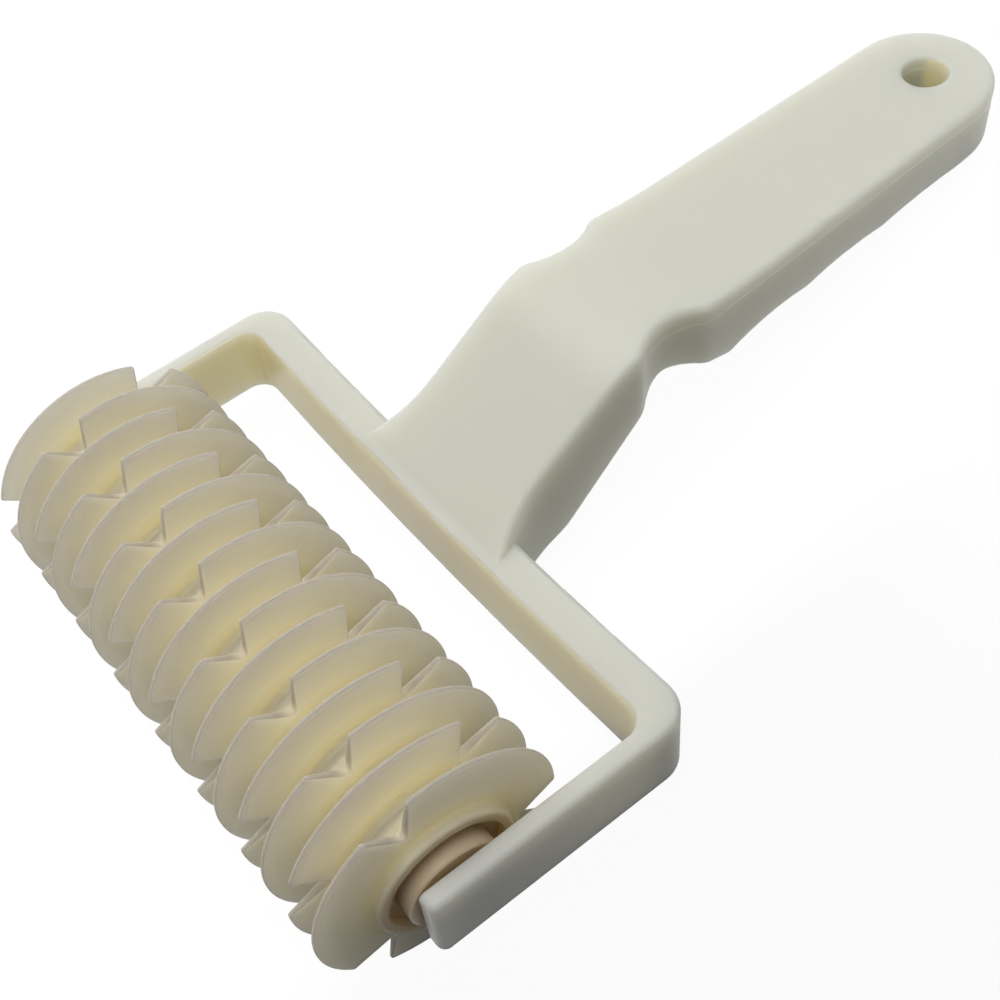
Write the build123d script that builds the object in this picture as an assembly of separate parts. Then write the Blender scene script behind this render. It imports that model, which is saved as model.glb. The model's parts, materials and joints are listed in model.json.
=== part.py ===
"""Lattice roller cutter: a moulded yoke and handle carrying a roller of notched cutter discs.

Millimetres and degrees. The pieces are drawn in the yoke's frame, with the roller's axis along X, the arms
along Y and the handle's upper side towards +Z. They are then laid down as the tool lies on a table, on its
discs and on the end of its handle, with the table at Z = 0 and the origin below the middle of the tool.
"""

from build123d import *
import math
import os

# Cutter discs: plates tapering to a thin rim, with V notches, each turned half a step from its neighbour
DISC_COUNT = 16
DISC_PITCH = 6.95
DISC_RADIUS = 22.7
PLATE_THICK = 2.0
RIM_THICK = 0.8
RIM_ROUND = 0.3
NOTCH_COUNT = 3
NOTCH_DEPTH = 7.9
NOTCH_WIDTH = 8.9
NOTCH_ROOT = 0.5
TOOTH_ROUND = 0.45
FIRST_NOTCH_ANGLE = 109.0

# Disc hubs: a grooved collar on the right, and on the left a tongue that enters the next disc's groove
HUB_RADIUS = 12.8
HUB_FILLET = 0.8
COLLAR_HEIGHT = 1.8
COLLAR_ROUND = 0.65
COLLAR_WALL = 1.8
TONGUE_LENGTH = 1.15
TONGUE_WALL = 2.2
TONGUE_CLEAR = 0.1
WEB_THICK = 2.2

# Spindle, which keys the discs together, and the bush on each of its ends
HEX_ACROSS = 9.0
HEX_CLEAR = 0.05
KEY_PLAY_ANGLE = 2.4    # how far a disc can turn on the spindle, either way
KEY_WAVE_COUNT = 10.5   # discs along the roller to one swing of that play
SOCKET_DEPTH = 1.2
BUSH_LENGTH = 3.9
BUSH_CLEAR = 0.05
BUSH_CHAMFER = 0.3

# Pivot studs inside the arms
STUD_RADIUS = 3.0
STUD_CLEAR = 0.05
STUD_TIP_GAP = 0.3
STUD_CHAMFER = 0.4

# Yoke: two arms and a back bar that bows slightly towards the roller
END_GAP = 0.4
ARM_THICK = 3.6
ARM_HEIGHT = 15.4
ARM_TIP = 7.0
BAR_GAP = 14.6
BAR_THICK = 7.25
BAR_BOW = 1.15
YOKE_OUTER_ROUND = 6.3
YOKE_INNER_ROUND = 4.0
TIP_ROUND = 1.7
OUTER_EDGE_ROUND = 1.2
INNER_EDGE_ROUND = 0.5

# Neck, rising from the back bar
NECK_WIDTH = 31.5
NECK_ANGLE = 33.5
NECK_RISE = 21.47
TOE_ROUND = 2.5
TOE_LAND = 0.8
CREST_ROUND = 28.0
FLARE_ROUND = 23.0
FLARE_LENGTH = 7.8
ROOT_LIFT = 0.9
ROOT_LENGTH = 11.8
ROOT_ANGLE = 22.6
ROOT_ROUND = 8.0
UNDERSIDE_ANGLE = 42.0

# Grip: a swelling and two scallops for the thumb, then a taper with finger grooves below
SWELL_LENGTH = 24.2
SWELL_RISE = 0.45
SWELL_HEIGHT = 1.15
SWELL_ROUND = 90.0
SCALLOP_OFFSET = 10.85
SCALLOP_LENGTH = 14.7
SCALLOP_DEPTH = 2.8
SCALLOP_ROUND = 4.0
GRIP_WIDTH = 31.2
GRIP_LENGTH = 74.6
GRIP_ANGLE = 3.4
STOP_THICK = 15.0
STOP_ANGLE = 13.5
STOP_ROUND = 2.5
INDEX_ROUND = 7.0
FINGER_COUNT = 3
FINGER_PITCH = 19.2
FINGER_THICK = 13.4
FINGER_DEPTH = 1.1
FINGER_FADE = 0.33
FINGER_ROUND = 5.0
END_TAPER = 4.0
END_THICK = 11.6
TOP_EDGE_ROUND = 1.3
LOWER_EDGE_ROUND = 1.1
HANG_RADIUS = 4.15
HANG_INSET = 11.6
HANG_EDGE_ROUND = 0.7


def slope(angle):
    """Rise for each millimetre along, at an angle in degrees."""
    return math.tan(math.radians(angle))


def rounded(face, corners):
    """The face with each corner, given as a point and a radius, rounded."""
    for corner, radius in corners:
        face = fillet(face.vertices().sort_by_distance(corner)[0], radius)
    return face


def hexagon(across):
    """A hexagon of a given width across its flats, in step with the first disc's notches."""
    return Rot(Z=FIRST_NOTCH_ANGLE) * RegularPolygon(across / 2, 6, major_radius=False)


# Places along the roller, measured from the middle of a disc's plate
plate_face = PLATE_THICK / 2
collar_end = plate_face + COLLAR_HEIGHT
hub_end = DISC_PITCH - collar_end
tongue_end = hub_end + TONGUE_LENGTH
web_face = WEB_THICK - plate_face
notch_step = 360 / NOTCH_COUNT

# Fits between the discs, the bushes and the spindle
groove_radius = HUB_RADIUS - COLLAR_WALL
tongue_radius = groove_radius - TONGUE_CLEAR
cavity_radius = tongue_radius - TONGUE_WALL
bush_radius = cavity_radius - BUSH_CLEAR
hex_socket = HEX_ACROSS + 2 * HEX_CLEAR
hex_corner = HEX_ACROSS / math.sqrt(3)
hex_bore = 2 * (hex_corner * math.cos(math.radians(30 - KEY_PLAY_ANGLE)) + HEX_CLEAR)

# Places along the whole roller, measured from the middle of the tool
stack_half = DISC_PITCH * (DISC_COUNT - 1) / 2
bush_seat_right = stack_half + plate_face
bush_seat_left = -stack_half - web_face
spindle_right = bush_seat_right + SOCKET_DEPTH
spindle_left = bush_seat_left - SOCKET_DEPTH
arm_inner = stack_half + tongue_end + END_GAP
arm_outer = arm_inner + ARM_THICK
stud_tip = max(spindle_right, -spindle_left) + STUD_TIP_GAP

# Yoke, from the roller's axis to the back bar
bar_inner = DISC_RADIUS + BAR_GAP
bar_outer = bar_inner + BAR_THICK
arm_top = ARM_HEIGHT / 2

# Upper line of the neck and grip, as points in Y and Z
neck_front = bar_inner - BAR_BOW + INNER_EDGE_ROUND
toe = (neck_front + TOE_LAND + TOE_ROUND * slope(NECK_ANGLE / 2), arm_top)
crest = (toe[0] + NECK_RISE / slope(NECK_ANGLE), arm_top + NECK_RISE)
grip_start = (crest[0] + SWELL_LENGTH, crest[1] + SWELL_RISE)
grip_end = (grip_start[0] + GRIP_LENGTH, grip_start[1] + GRIP_LENGTH * slope(GRIP_ANGLE))

# Lower line of the neck and grip
root = (bar_outer, ROOT_LIFT - arm_top)
heel = (root[0] + ROOT_LENGTH, root[1] + ROOT_LENGTH * slope(ROOT_ANGLE))
stop = (grip_start[0], grip_start[1] - STOP_THICK)
index_y = stop[0] - (heel[1] + (stop[0] - heel[0]) * slope(UNDERSIDE_ANGLE) - stop[1]) / (
    slope(UNDERSIDE_ANGLE) + slope(STOP_ANGLE))
index = (index_y, stop[1] + (stop[0] - index_y) * slope(STOP_ANGLE))
end_low = (grip_end[0], grip_end[1] - END_THICK)
ridges = [stop]
for number in range(1, FINGER_COUNT + 1):
    along = stop[0] + number * FINGER_PITCH
    share = (number - 1) * FINGER_PITCH / (grip_end[0] - stop[0] - FINGER_PITCH)
    thick = FINGER_THICK + (END_THICK - FINGER_THICK) * share
    ridges.append((along, grip_start[1] + (along - grip_start[0]) * slope(GRIP_ANGLE) - thick))
tail_angle = math.degrees(math.atan2(end_low[1] - ridges[-1][1], end_low[0] - ridges[-1][0]))
end_radius = (GRIP_WIDTH - END_TAPER) / 2
hang_y = grip_end[0] - HANG_INSET

# Rest: the tool tips back on its discs until the rounded lower end of the handle meets the table
end_arc_y = grip_end[0] - LOWER_EDGE_ROUND
end_arc_z = end_low[1] + LOWER_EDGE_ROUND * (1 / math.cos(math.radians(tail_angle)) - slope(tail_angle))
end_arc_drop = (DISC_RADIUS - LOWER_EDGE_ROUND) / math.hypot(end_arc_y, end_arc_z)
tilt = math.degrees(math.atan2(end_arc_z, end_arc_y) + math.asin(end_arc_drop))


def disc_blank():
    """A disc on the X axis before its bore is cut, with its notches half a step either side of +Y."""
    section = Polyline(
        (plate_face, 0),
        (plate_face, groove_radius),
        (collar_end, groove_radius),
        (collar_end, HUB_RADIUS),
        (plate_face, HUB_RADIUS),
        (RIM_THICK / 2, DISC_RADIUS),
        (-RIM_THICK / 2, DISC_RADIUS),
        (-plate_face, HUB_RADIUS),
        (-hub_end, HUB_RADIUS),
        (-hub_end, tongue_radius),
        (-tongue_end, tongue_radius),
        (-tongue_end, cavity_radius),
        (-web_face, cavity_radius),
        (-web_face, 0),
        close=True,
    )
    corners = [((side * plate_face, HUB_RADIUS, 0), HUB_FILLET) for side in (1, -1)]
    corners.append(((collar_end, HUB_RADIUS, 0), COLLAR_ROUND))
    blank = revolve(rounded(make_face(section), corners), Axis.X)

    notch_root = DISC_RADIUS - NOTCH_DEPTH
    mouth = NOTCH_DEPTH + PLATE_THICK
    flank = mouth * NOTCH_WIDTH / 2 / NOTCH_DEPTH
    wedge = make_face(Polyline((notch_root, 0), (notch_root + mouth, flank), (notch_root + mouth, -flank),
                               close=True))
    wedge = rounded(wedge, [((notch_root, 0, 0), NOTCH_ROOT)])
    notch = extrude(Plane.YZ * wedge, PLATE_THICK, both=True)
    for turn in range(NOTCH_COUNT):
        blank -= Rot(X=(turn + 0.5) * notch_step) * notch
    teeth = [edge for edge in blank.edges() if abs(edge.length - RIM_THICK) < 0.001]
    blank = fillet(teeth, TOOTH_ROUND)
    circles = blank.edges().filter_by(GeomType.CIRCLE)
    return fillet([edge for edge in circles if abs(edge.radius - DISC_RADIUS) < 0.001], RIM_ROUND)


blank = disc_blank()


def cutter_disc(number):
    """One disc, turned half a notch step from the one before, give or take its play on the spindle."""
    play = -KEY_PLAY_ANGLE * math.cos(2 * math.pi * (number - 1.5) / KEY_WAVE_COUNT)
    disc = Rot(X=FIRST_NOTCH_ANGLE + play + number * notch_step / 2) * blank
    disc -= Rot(X=play) * extrude(Plane.YZ * hexagon(hex_bore), DISC_PITCH, both=True)
    return Pos(X=stack_half - (number - 1) * DISC_PITCH) * disc


def spindle():
    """Hexagonal rod through every disc, ending in the bushes' sockets."""
    return extrude(Plane.YZ.offset(spindle_left) * hexagon(HEX_ACROSS), spindle_right - spindle_left)


def pivot_bush(seat, outward):
    """Round bush from its seat on an end disc, with a socket for the spindle and a bore for the stud."""
    bush = extrude(Plane.YZ.offset(seat) * Circle(bush_radius), outward * BUSH_LENGTH)
    bush = chamfer(bush.faces().filter_by(GeomType.PLANE).edges(), BUSH_CHAMFER)
    bush -= extrude(Plane.YZ.offset(seat) * hexagon(hex_socket), outward * SOCKET_DEPTH)
    bush -= extrude(Plane.YZ.offset(seat) * Circle(STUD_RADIUS + STUD_CLEAR), outward * BUSH_LENGTH)
    return bush


def yoke():
    """Flat U of two arms and the bowed back bar, with rounded corners and softer outer edges on top."""
    plan = make_face([
        Polyline((-arm_outer, bar_outer), (-arm_outer, -ARM_TIP), (-arm_inner, -ARM_TIP),
                 (-arm_inner, bar_inner)),
        ThreePointArc((-arm_inner, bar_inner), (0, bar_inner - BAR_BOW), (arm_inner, bar_inner)),
        Polyline((arm_inner, bar_inner), (arm_inner, -ARM_TIP), (arm_outer, -ARM_TIP),
                 (arm_outer, bar_outer)),
        ThreePointArc((arm_outer, bar_outer), (0, bar_outer - BAR_BOW), (-arm_outer, bar_outer)),
    ])
    plan = rounded(plan, [((side * arm_outer, bar_outer, 0), YOKE_OUTER_ROUND) for side in (1, -1)])
    plan = rounded(plan, [((side * arm_inner, bar_inner, 0), YOKE_INNER_ROUND) for side in (1, -1)])
    plan = rounded(plan, [((side * arm_outer, -ARM_TIP, 0), TIP_ROUND) for side in (1, -1)])
    body = extrude(plan, ARM_HEIGHT / 2, both=True)

    outer = body.faces().filter_by(Axis.X).sort_by(Axis.X)[-1].edges().group_by(Axis.Z)[-1]
    body = fillet(outer, OUTER_EDGE_ROUND)
    levels = body.edges().group_by(Axis.Z)
    return fillet(levels[0] + levels[-1], INNER_EDGE_ROUND)


def pivot_stud(side):
    """Round stud on the inside of an arm, sunk into it, with a chamfered tip."""
    stud = extrude(Plane.YZ.offset(side * stud_tip) * Circle(STUD_RADIUS),
                   side * (arm_inner + ARM_THICK / 2 - stud_tip))
    return chamfer(stud.edges().sort_by(Axis.X)[0 if side > 0 else -1], STUD_CHAMFER)


def grip_side():
    """Neck and grip seen from the side, drawn in Y and Z and running on past the handle's end."""
    past_end = grip_end[0] + end_radius
    swell = ((crest[0] + grip_start[0]) / 2, (crest[1] + grip_start[1]) / 2 + SWELL_HEIGHT)
    lines = [
        Polyline((neck_front, root[1]), (neck_front, arm_top), toe, crest),
        ThreePointArc(crest, swell, grip_start),
        Polyline(grip_start, (past_end, grip_end[1] + end_radius * slope(GRIP_ANGLE)),
                 (past_end, end_low[1] + end_radius * slope(tail_angle)), ridges[-1]),
    ]
    for number in range(FINGER_COUNT, 0, -1):
        near, far = ridges[number - 1], ridges[number]
        depth = FINGER_DEPTH - (number - 1) * FINGER_FADE
        lines.append(ThreePointArc(far, ((near[0] + far[0]) / 2, (near[1] + far[1]) / 2 + depth), near))
    lines.append(Polyline(stop, index, heel, root, (neck_front, root[1])))

    rounds = [(toe, TOE_ROUND), (crest, CREST_ROUND), (grip_start, SWELL_ROUND), (stop, STOP_ROUND),
              (index, INDEX_ROUND), (heel, ROOT_ROUND)]
    rounds += [(ridge, FINGER_ROUND) for ridge in ridges[1:]]
    return rounded(make_face(lines), [((*corner, 0), radius) for corner, radius in rounds])


def grip_plan():
    """Neck and grip seen from above, drawn in X and Y."""
    neck_half = NECK_WIDTH / 2
    grip_half = GRIP_WIDTH / 2
    end_centre = grip_end[0] - end_radius
    flare_end = bar_outer + FLARE_LENGTH
    flare_sink = flare_end - neck_front
    flare_half = neck_half + FLARE_ROUND - math.sqrt(FLARE_ROUND ** 2 - flare_sink ** 2)
    flare_bend = math.asin(flare_sink / FLARE_ROUND) / 2
    flare_mid = (neck_half + FLARE_ROUND * (1 - math.cos(flare_bend)),
                 flare_end - FLARE_ROUND * math.sin(flare_bend))
    scallop_mid = crest[0] + SCALLOP_OFFSET
    scallop_near = scallop_mid - SCALLOP_LENGTH / 2
    scallop_far = scallop_mid + SCALLOP_LENGTH / 2

    reach = math.hypot(grip_half, end_centre - scallop_far)
    touch = math.acos(end_radius / reach) - math.atan2(end_centre - scallop_far, grip_half)
    end_touch = (end_radius * math.cos(touch), end_centre + end_radius * math.sin(touch))
    half = [
        ThreePointArc((flare_half, neck_front), flare_mid, (neck_half, flare_end)),
        Line((neck_half, flare_end), (neck_half, scallop_near)),
        ThreePointArc((neck_half, scallop_near), ((neck_half + grip_half) / 2 - SCALLOP_DEPTH, scallop_mid),
                      (grip_half, scallop_far)),
        Line((grip_half, scallop_far), end_touch),
    ]
    other = [edge.mirror(Plane.YZ) for edge in half]
    ends = [
        Line((flare_half, neck_front), (-flare_half, neck_front)),
        ThreePointArc(end_touch, (0, grip_end[0]), (-end_touch[0], end_touch[1])),
    ]
    shoulders = [((side * neck_half, scallop_near, 0), SCALLOP_ROUND) for side in (1, -1)]
    shoulders += [((side * grip_half, scallop_far, 0), SCALLOP_ROUND) for side in (1, -1)]
    return rounded(make_face(half + other + ends), shoulders)


def rim(half, side):
    """Edges where the upper surface of a half body, side 1, or the lower one, side -1, meets its walls."""
    edges = []
    for face in half.faces():
        if side * face.normal_at().Z < 0.1:
            continue
        for edge in face.edges():
            run = edge @ 0.5 - edge @ 0
            if abs(run.X) < 0.99 * run.length and (edge @ 0.5).X > TOP_EDGE_ROUND:
                edges.append(edge)
    return edges


def grip():
    """Neck and grip: half the plan cut to the side view, softened, mirrored and given a hang hole."""
    width = NECK_WIDTH / 2 + FLARE_ROUND
    height = grip_end[1] + ARM_HEIGHT
    half = extrude(grip_plan(), height, both=True) & extrude(Plane.YZ * grip_side(), width)
    half = fillet(rim(half, 1), TOP_EDGE_ROUND)
    half = fillet(rim(half, -1), LOWER_EDGE_ROUND)
    body = half + mirror(half, Plane.YZ)
    body -= Pos(Y=hang_y) * Cylinder(HANG_RADIUS, 2 * height)
    mouths = []
    for edge in body.edges().filter_by(GeomType.LINE, reverse=True):
        place = edge @ 0.5
        if abs(math.hypot(place.X, place.Y - hang_y) - HANG_RADIUS) < 0.001:
            mouths.append(edge)
    return fillet(mouths, HANG_EDGE_ROUND)


def handle_frame():
    """Yoke, neck, grip and pivot studs as one moulding."""
    return yoke() + grip() + pivot_stud(1) + pivot_stud(-1)


frame = handle_frame()
pieces = {
    "handle_frame": frame,
    "spindle": spindle(),
    "pivot_bush_right": pivot_bush(bush_seat_right, 1),
    "pivot_bush_left": pivot_bush(bush_seat_left, -1),
}
for number in range(1, DISC_COUNT + 1):
    pieces[f"cutter_disc_{number:02d}"] = cutter_disc(number)

handle_reach = (Rot(X=-tilt) * frame).bounding_box().max.Y
lay_down = Pos(Y=(DISC_RADIUS - handle_reach) / 2, Z=DISC_RADIUS) * Rot(X=-tilt)
os.makedirs("parts", exist_ok=True)
for name, piece in pieces.items():
    export_step(lay_down * piece, f"parts/{name}.step")
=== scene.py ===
import json

import bmesh
import bpy
from mathutils import Matrix, Vector

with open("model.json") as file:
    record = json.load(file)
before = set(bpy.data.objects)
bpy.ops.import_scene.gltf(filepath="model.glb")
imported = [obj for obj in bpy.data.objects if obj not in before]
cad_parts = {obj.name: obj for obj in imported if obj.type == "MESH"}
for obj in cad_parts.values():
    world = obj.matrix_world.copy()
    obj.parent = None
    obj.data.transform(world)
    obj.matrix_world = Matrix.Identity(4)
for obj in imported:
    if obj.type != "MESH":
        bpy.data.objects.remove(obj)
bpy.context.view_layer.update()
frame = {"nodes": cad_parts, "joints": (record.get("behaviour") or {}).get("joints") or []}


# Spindle: a hexagonal rod of plain cream plastic, moulded in one piece and pushed through every disc.
# It keys the discs together and ends inside the bushes, so the closed row of hubs hides it.
def moulded_skin_group():
    """Surface of moulded plastic: a shallow ripple, a slow drift in tone and patches of duller gloss."""
    group = bpy.data.node_groups.new("moulded_skin", "ShaderNodeTree")
    group.interface.new_socket("Ripple per metre", in_out="INPUT", socket_type="NodeSocketFloat")
    group.interface.new_socket("Drift per metre", in_out="INPUT", socket_type="NodeSocketFloat")
    group.interface.new_socket("Ripple", in_out="OUTPUT", socket_type="NodeSocketFloat")
    group.interface.new_socket("Tone", in_out="OUTPUT", socket_type="NodeSocketFloat")
    group.interface.new_socket("Dullness", in_out="OUTPUT", socket_type="NodeSocketFloat")
    nodes, links = group.nodes, group.links
    given = nodes.new("NodeGroupInput")
    result = nodes.new("NodeGroupOutput")
    place = nodes.new("ShaderNodeTexCoord")

    ripple = nodes.new("ShaderNodeTexNoise")
    ripple.inputs["Detail"].default_value = 1.0
    ripple.inputs["Roughness"].default_value = 0.4
    links.new(place.outputs["Object"], ripple.inputs["Vector"])
    links.new(given.outputs["Ripple per metre"], ripple.inputs["Scale"])
    links.new(ripple.outputs["Fac"], result.inputs["Ripple"])

    tone = nodes.new("ShaderNodeTexNoise")
    tone.inputs["Detail"].default_value = 2.0
    links.new(place.outputs["Object"], tone.inputs["Vector"])
    links.new(given.outputs["Drift per metre"], tone.inputs["Scale"])
    links.new(tone.outputs["Fac"], result.inputs["Tone"])

    dull = nodes.new("ShaderNodeTexNoise")
    dull.inputs["Scale"].default_value = 40.0
    dull.inputs["Detail"].default_value = 1.0
    links.new(place.outputs["Object"], dull.inputs["Vector"])
    links.new(dull.outputs["Fac"], result.inputs["Dullness"])
    return group


moulded_skin = moulded_skin_group()


def eased(tree, value, start, stop, low, high):
    """A value that eases from low to high while the given one goes from start to stop."""
    span = tree.nodes.new("ShaderNodeMapRange")
    span.interpolation_type = "SMOOTHSTEP"
    span.inputs["From Min"].default_value = start
    span.inputs["From Max"].default_value = stop
    span.inputs["To Min"].default_value = low
    span.inputs["To Max"].default_value = high
    tree.links.new(value, span.inputs["Value"])
    return span.outputs["Result"]


def plastic(name, gloss, ripple_scale, ripple_depth):
    """A moulded plastic with its range of roughness and its ripple, and no colour yet."""
    dull_share = (0.3, 0.7)
    material = bpy.data.materials.new(name)
    material.use_nodes = True
    tree = material.node_tree
    shader = tree.nodes["Principled BSDF"]
    skin = tree.nodes.new("ShaderNodeGroup")
    skin.name = "skin"
    skin.node_tree = moulded_skin
    skin.inputs["Ripple per metre"].default_value = ripple_scale
    tree.links.new(eased(tree, skin.outputs["Dullness"], *dull_share, *gloss), shader.inputs["Roughness"])
    bump = tree.nodes.new("ShaderNodeBump")
    bump.inputs["Distance"].default_value = ripple_depth
    tree.links.new(skin.outputs["Ripple"], bump.inputs["Height"])
    tree.links.new(bump.outputs["Normal"], shader.inputs["Normal"])
    return material


def two_tones(tree, drift_scale, pale, warm):
    """A colour that drifts slowly between two tones of a plastic."""
    skin = tree.nodes["skin"]
    skin.inputs["Drift per metre"].default_value = drift_scale
    tones = tree.nodes.new("ShaderNodeMix")
    tones.data_type = "RGBA"
    tones.inputs["A"].default_value = (*pale, 1)
    tones.inputs["B"].default_value = (*warm, 1)
    tree.links.new(skin.outputs["Tone"], tones.inputs["Factor"])
    return tones.outputs["Result"]


def let_light_in(shader, weight, spread, depth):
    """Lets light wander under a plastic's surface, to about the given depth in metres."""
    shader.inputs["Subsurface Weight"].default_value = weight
    shader.inputs["Subsurface Radius"].default_value = spread
    shader.inputs["Subsurface Scale"].default_value = depth


pivot_plastic = plastic("pivot_plastic", gloss=(0.38, 0.48), ripple_scale=400.0, ripple_depth=0.00001)
pivot_tree = pivot_plastic.node_tree
pivot_shader = pivot_tree.nodes["Principled BSDF"]
pivot_colour = two_tones(pivot_tree, drift_scale=60.0, pale=(0.59, 0.48, 0.36), warm=(0.51, 0.38, 0.23))
pivot_tree.links.new(pivot_colour, pivot_shader.inputs["Base Color"])
let_light_in(pivot_shader, weight=0.6, spread=(1.0, 0.9, 0.75), depth=0.004)
frame["nodes"]["spindle"].material_slots[0].material = pivot_plastic


# Cutter discs: thin notched plates with a hub, moulded in cream plastic that lets some light through.
# Their rims, notch edges and teeth are painted greyer and darker, painted shade standing in for light
# leaving the thin plates; their thick hubs are painted warmer, a painted glow of light caught in them, and
# the collar's groove is painted dark as painted shade.
# They slide onto the spindle one after another, each tongue entering the next disc's collar.
groove_radius = 0.0120
disc_radius = 0.0227
# Painted light in these tones: the groove tone is painted shade, the hub tone a painted warm glow, and the
# tooth and rim tones painted greying where light leaves the thin plates.
groove_shade_tone = (0.66, 0.53, 0.33)
hub_glow_tone = (0.92, 0.80, 0.55)
plate_tone = (0.90, 0.84, 0.63)
tooth_shade_tone = (0.72, 0.685, 0.555)
rim_shade_tone = (0.54, 0.51, 0.43)
# The edge tone is painted shade on the rims and notch flanks.
edge_shade_tone = (0.35, 0.315, 0.265)
hub_stop = 0.10
plate_stop = 0.35
tooth_stop = 0.85
edge_shade_lean = (0.05, 0.9)
edge_shade_reach = (0.10, 0.55)


def across_axis(tree, vector):
    """Length of a vector as it looks along the roller's axis."""
    flat = tree.nodes.new("ShaderNodeVectorMath")
    flat.operation = "MULTIPLY"
    flat.inputs[1].default_value = (0, 1, 1)
    tree.links.new(vector, flat.inputs[0])
    length = tree.nodes.new("ShaderNodeVectorMath")
    length.operation = "LENGTH"
    tree.links.new(flat.outputs["Vector"], length.inputs[0])
    return length.outputs["Value"]


def reckon(tree, operation, first, second=0.0):
    """A value worked out from another one and, where it takes two, from a second value or a number."""
    step = tree.nodes.new("ShaderNodeMath")
    step.operation = operation
    tree.links.new(first, step.inputs[0])
    if isinstance(second, bpy.types.NodeSocket):
        tree.links.new(second, step.inputs[1])
    else:
        step.inputs[1].default_value = second
    return step.outputs["Value"]


def tinted(tree, mask, colour, tone):
    """A colour that gives way to a plain tone where the mask is one."""
    tint = tree.nodes.new("ShaderNodeMix")
    tint.data_type = "RGBA"
    tint.inputs["B"].default_value = (*tone, 1)
    tree.links.new(mask, tint.inputs["Factor"])
    tree.links.new(colour, tint.inputs["A"])
    return tint.outputs["Result"]


disc_plastic = plastic("disc_plastic", gloss=(0.46, 0.56), ripple_scale=300.0, ripple_depth=0.00001)
disc_tree = disc_plastic.node_tree
disc_shader = disc_tree.nodes["Principled BSDF"]
disc_place = disc_tree.nodes.new("ShaderNodeTexCoord")
from_axis = disc_tree.nodes.new("ShaderNodeVectorMath")
from_axis.operation = "SUBTRACT"
from_axis.inputs[1].default_value = Vector(frame["joints"][0]["pos_m"])
disc_tree.links.new(disc_place.outputs["Object"], from_axis.inputs[0])
outward = disc_tree.nodes.new("ShaderNodeMapRange")
outward.inputs["From Min"].default_value = groove_radius
outward.inputs["From Max"].default_value = disc_radius
disc_tree.links.new(across_axis(disc_tree, from_axis.outputs["Vector"]), outward.inputs["Value"])
tones_with_painted_light = disc_tree.nodes.new("ShaderNodeValToRGB")
tones_with_painted_light.color_ramp.elements[0].color = (*groove_shade_tone, 1)
tones_with_painted_light.color_ramp.elements[1].color = (*rim_shade_tone, 1)
for stop, tone in ((hub_stop, hub_glow_tone), (plate_stop, plate_tone), (tooth_stop, tooth_shade_tone)):
    tones_with_painted_light.color_ramp.elements.new(stop).color = (*tone, 1)
disc_tree.links.new(outward.outputs["Result"], tones_with_painted_light.inputs["Fac"])
# Painted shade: faces that look across the axis, the rims and notch flanks, are painted darker outside the
# hub.
leaning = eased(disc_tree, across_axis(disc_tree, disc_place.outputs["Normal"]), *edge_shade_lean, 0.0, 1.0)
past_hub = eased(disc_tree, outward.outputs["Result"], *edge_shade_reach, 0.0, 1.0)
plate_edge_shade = reckon(disc_tree, "MULTIPLY", leaning, past_hub)
disc_colour = tinted(disc_tree, plate_edge_shade, tones_with_painted_light.outputs["Color"], edge_shade_tone)
disc_tree.links.new(disc_colour, disc_shader.inputs["Base Color"])
let_light_in(disc_shader, weight=1.0, spread=(1.0, 0.92, 0.80), depth=0.008)
disc_shader.inputs["Specular IOR Level"].default_value = 0.12
for name, node in frame["nodes"].items():
    if name.startswith("cutter_disc"):
        node.material_slots[0].material = disc_plastic


# Pivot bushes: short round plastic bushes on the spindle's ends, turning on the studs inside the arms.
# They share the spindle's plain cream plastic.
for name in ("pivot_bush_right", "pivot_bush_left"):
    frame["nodes"][name].material_slots[0].material = pivot_plastic


# Handle frame: arms, back bar, neck and grip in one ivory moulding with a soft satin gloss.
# The mould's two halves met along the grip's sides and left a faint line, drawn lighter as a painted
# highlight along its small step, and the yoke's inner faces are painted warmer as painted light bounced
# from the roller.
# The arms spring apart to let the roller's bushes onto the studs inside them.
# Painted light: the inside tone is painted warm light on the yoke's inner faces, standing in for light
# bounced from the roller.
inside_bounce_tone = (0.81, 0.745, 0.54)
bar_facing = (-0.9, -0.6)
behind_tips = (-0.06, -0.05)
arm_facing = (-0.042, -0.018)
parting_normal = Vector((0.0, 0.2051, 0.9787))
parting_height = 0.0282
parting_start = 0.004
parting_fade = 0.004
parting_width = 0.0003
# The parting line is real; its lighter tone is a painted highlight along its small step.
parting_highlight_tone = (0.76, 0.76, 0.67)


def parts(tree, vector):
    """The X, Y and Z of a vector."""
    split = tree.nodes.new("ShaderNodeSeparateXYZ")
    tree.links.new(vector, split.inputs["Vector"])
    return split.outputs


def along(tree, vector, direction):
    """How far a vector reaches in a direction."""
    reach = tree.nodes.new("ShaderNodeVectorMath")
    reach.operation = "DOT_PRODUCT"
    reach.inputs[1].default_value = direction
    tree.links.new(vector, reach.inputs[0])
    return reach.outputs["Value"]


frame_plastic = plastic("frame_plastic", gloss=(0.30, 0.36), ripple_scale=45.0, ripple_depth=0.00004)
frame_tree = frame_plastic.node_tree
frame_shader = frame_tree.nodes["Principled BSDF"]
frame_place = frame_tree.nodes.new("ShaderNodeTexCoord")
spot = parts(frame_tree, frame_place.outputs["Object"])
facing = parts(frame_tree, frame_place.outputs["Normal"])
plain_colour = two_tones(frame_tree, drift_scale=22.0, pale=(0.642, 0.65, 0.57), warm=(0.63, 0.632, 0.548))

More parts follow.
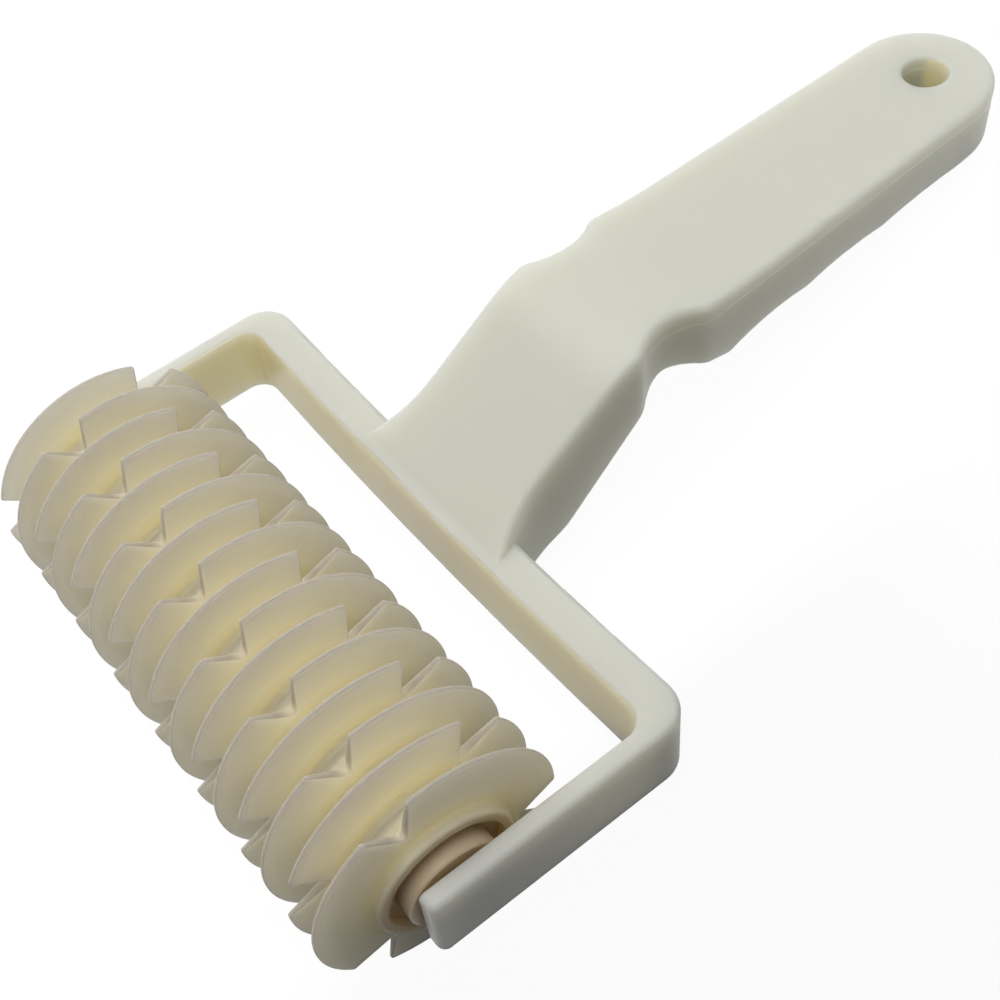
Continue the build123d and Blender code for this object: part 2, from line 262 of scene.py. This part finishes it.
# Painted bounce light: faces of the back bar and arms that look towards the roller are tinted warmer.
to_roller = eased(frame_tree, facing["Y"], *bar_facing, 1.0, 0.0)
past_tips = eased(frame_tree, spot["Y"], *behind_tips, 0.0, 1.0)
bar_inside_bounce = reckon(frame_tree, "MULTIPLY", to_roller, past_tips)
lean_out = reckon(frame_tree, "MULTIPLY", spot["X"], facing["X"])
arm_inside_bounce = eased(frame_tree, lean_out, *arm_facing, 1.0, 0.0)
painted_bounce_mask = reckon(frame_tree, "MAXIMUM", bar_inside_bounce, arm_inside_bounce)
bounce_warmed_colour = tinted(frame_tree, painted_bounce_mask, plain_colour, inside_bounce_tone)

height = along(frame_tree, frame_place.outputs["Object"], parting_normal)
above_line = reckon(frame_tree, "SUBTRACT", height, parting_height)
off_line = reckon(frame_tree, "ABSOLUTE", above_line)
near_line = eased(frame_tree, off_line, 0.0, parting_width, 1.0, 0.0)
on_grip = eased(frame_tree, spot["Y"], parting_start, parting_start + parting_fade, 0.0, 1.0)
parting_line = reckon(frame_tree, "MULTIPLY", near_line, on_grip)
frame_colour = tinted(frame_tree, parting_line, bounce_warmed_colour, parting_highlight_tone)

frame_tree.links.new(frame_colour, frame_shader.inputs["Base Color"])
let_light_in(frame_shader, weight=1.0, spread=(1.0, 0.94, 0.82), depth=0.012)
frame_shader.inputs["Specular IOR Level"].default_value = 0.24
frame["nodes"]["handle_frame"].material_slots[0].material = frame_plastic


# Studio: a wide pale floor, a soft dome of light, a large soft lamp overhead and a small one to the left.
# The floor looks white to the camera and keeps the tool's soft shadow. A dark card painted on it, beside
# the near arm, keeps the floor's light off the arm's outer side.
floor_half = 3.0
floor_tone = 0.8
card_tone = 0.05
card_side = (0.035, 0.06)
card_end = (-0.03, 0.08)
glow_strength = 1.03
glow_share = 0.93
floor_mesh = bpy.data.meshes.new("floor")
floor_shape = bmesh.new()
bmesh.ops.create_grid(floor_shape, x_segments=1, y_segments=1, size=floor_half)
floor_shape.to_mesh(floor_mesh)
floor_shape.free()
floor = bpy.data.objects.new("floor", floor_mesh)
bpy.context.scene.collection.objects.link(floor)


def seen_rays(tree):
    """One for rays that show the background to the camera, straight, mirrored or through glass."""
    path = tree.nodes.new("ShaderNodeLightPath").outputs
    mirrored = reckon(tree, "MAXIMUM", path["Is Camera Ray"], path["Is Glossy Ray"])
    return reckon(tree, "MAXIMUM", mirrored, path["Is Transmission Ray"])


floor_paint = bpy.data.materials.new("floor_paint")
floor_paint.use_nodes = True
floor_tree = floor_paint.node_tree
floor_shader = floor_tree.nodes["Principled BSDF"]
floor_place = floor_tree.nodes.new("ShaderNodeTexCoord")
floor_spot = parts(floor_tree, floor_place.outputs["Object"])
beside = eased(floor_tree, floor_spot["X"], *card_side, 0.0, 1.0)
ahead = eased(floor_tree, floor_spot["Y"], *card_end, 1.0, 0.0)
card = reckon(floor_tree, "MULTIPLY", beside, ahead)
floor_colour = eased(floor_tree, card, 0.0, 1.0, floor_tone, card_tone)
floor_tree.links.new(floor_colour, floor_shader.inputs["Base Color"])
floor_shader.inputs["Roughness"].default_value = 0.9
floor_shader.inputs["Specular IOR Level"].default_value = 0.0
glow = floor_tree.nodes.new("ShaderNodeEmission")
glow.inputs["Color"].default_value = (1, 1, 1, 1)
glow.inputs["Strength"].default_value = glow_strength
blend = floor_tree.nodes.new("ShaderNodeMixShader")
glowing = reckon(floor_tree, "MULTIPLY", seen_rays(floor_tree), glow_share)
floor_tree.links.new(glowing, blend.inputs["Fac"])
floor_tree.links.new(floor_shader.outputs["BSDF"], blend.inputs[1])
floor_tree.links.new(glow.outputs["Emission"], blend.inputs[2])
floor_tree.links.new(blend.outputs["Shader"], floor_tree.nodes["Material Output"].inputs["Surface"])
floor_mesh.materials.append(floor_paint)

dome_top = Vector((-0.33, 0.08, 0.94)).normalized()
dome_span = (0.1, 1.0)
dome_strength = (0.02, 0.77)
backdrop_strength = 1.0
world = bpy.data.worlds.new("studio")
bpy.context.scene.world = world
world.use_nodes = True
world_tree = world.node_tree
sky = world_tree.nodes["Background"]
sky.inputs["Color"].default_value = (1, 1, 1, 1)
heading = world_tree.nodes.new("ShaderNodeTexCoord")
towards_top = along(world_tree, heading.outputs["Generated"], dome_top)
dome = eased(world_tree, towards_top, *dome_span, *dome_strength)
backdrop = world_tree.nodes.new("ShaderNodeMix")
backdrop.data_type = "FLOAT"
world_tree.links.new(seen_rays(world_tree), backdrop.inputs["Factor"])
world_tree.links.new(dome, backdrop.inputs["A"])
backdrop.inputs["B"].default_value = backdrop_strength
world_tree.links.new(backdrop.outputs["Result"], sky.inputs["Strength"])

lamp_aim = Vector((0, 0, 0.02))
for name, place, size, energy in (
        ("softbox", Vector((-0.08, 0.12, 0.82)), 0.58, 3.7),
        ("side_lamp", Vector((-0.40, -0.05, 0.62)), 0.24, 0.32)):
    lamp = bpy.data.lights.new(name, "AREA")
    lamp.shape = "SQUARE"
    lamp.size = size
    lamp.energy = energy
    holder = bpy.data.objects.new(name, lamp)
    holder.location = place
    holder.rotation_euler = (lamp_aim - place).to_track_quat("-Z", "Y").to_euler()
    bpy.context.scene.collection.objects.link(holder)

camera_place = Vector((0.14073, -0.05593, 0.23129))
camera_aim = Vector((-0.0007, -0.0357, 0.0200))
camera_top = Vector((-0.5854, 0.6704, 0.4560))
away = (camera_aim - camera_place).normalized()
right = away.cross(camera_top).normalized()
turn = Matrix((right, right.cross(away), -away)).transposed()
lens = bpy.data.cameras.new("camera")
lens.sensor_fit = "HORIZONTAL"
lens.sensor_width = 36.0
lens.lens = 52.28
lens.shift_x = 0.0727
lens.shift_y = -0.0069
lens.clip_start = 0.01
camera = bpy.data.objects.new("camera", lens)
camera.matrix_world = Matrix.Translation(camera_place) @ turn.to_4x4()
bpy.context.scene.collection.objects.link(camera)
bpy.context.scene.camera = camera
bpy.context.scene.view_settings.view_transform = "Standard"
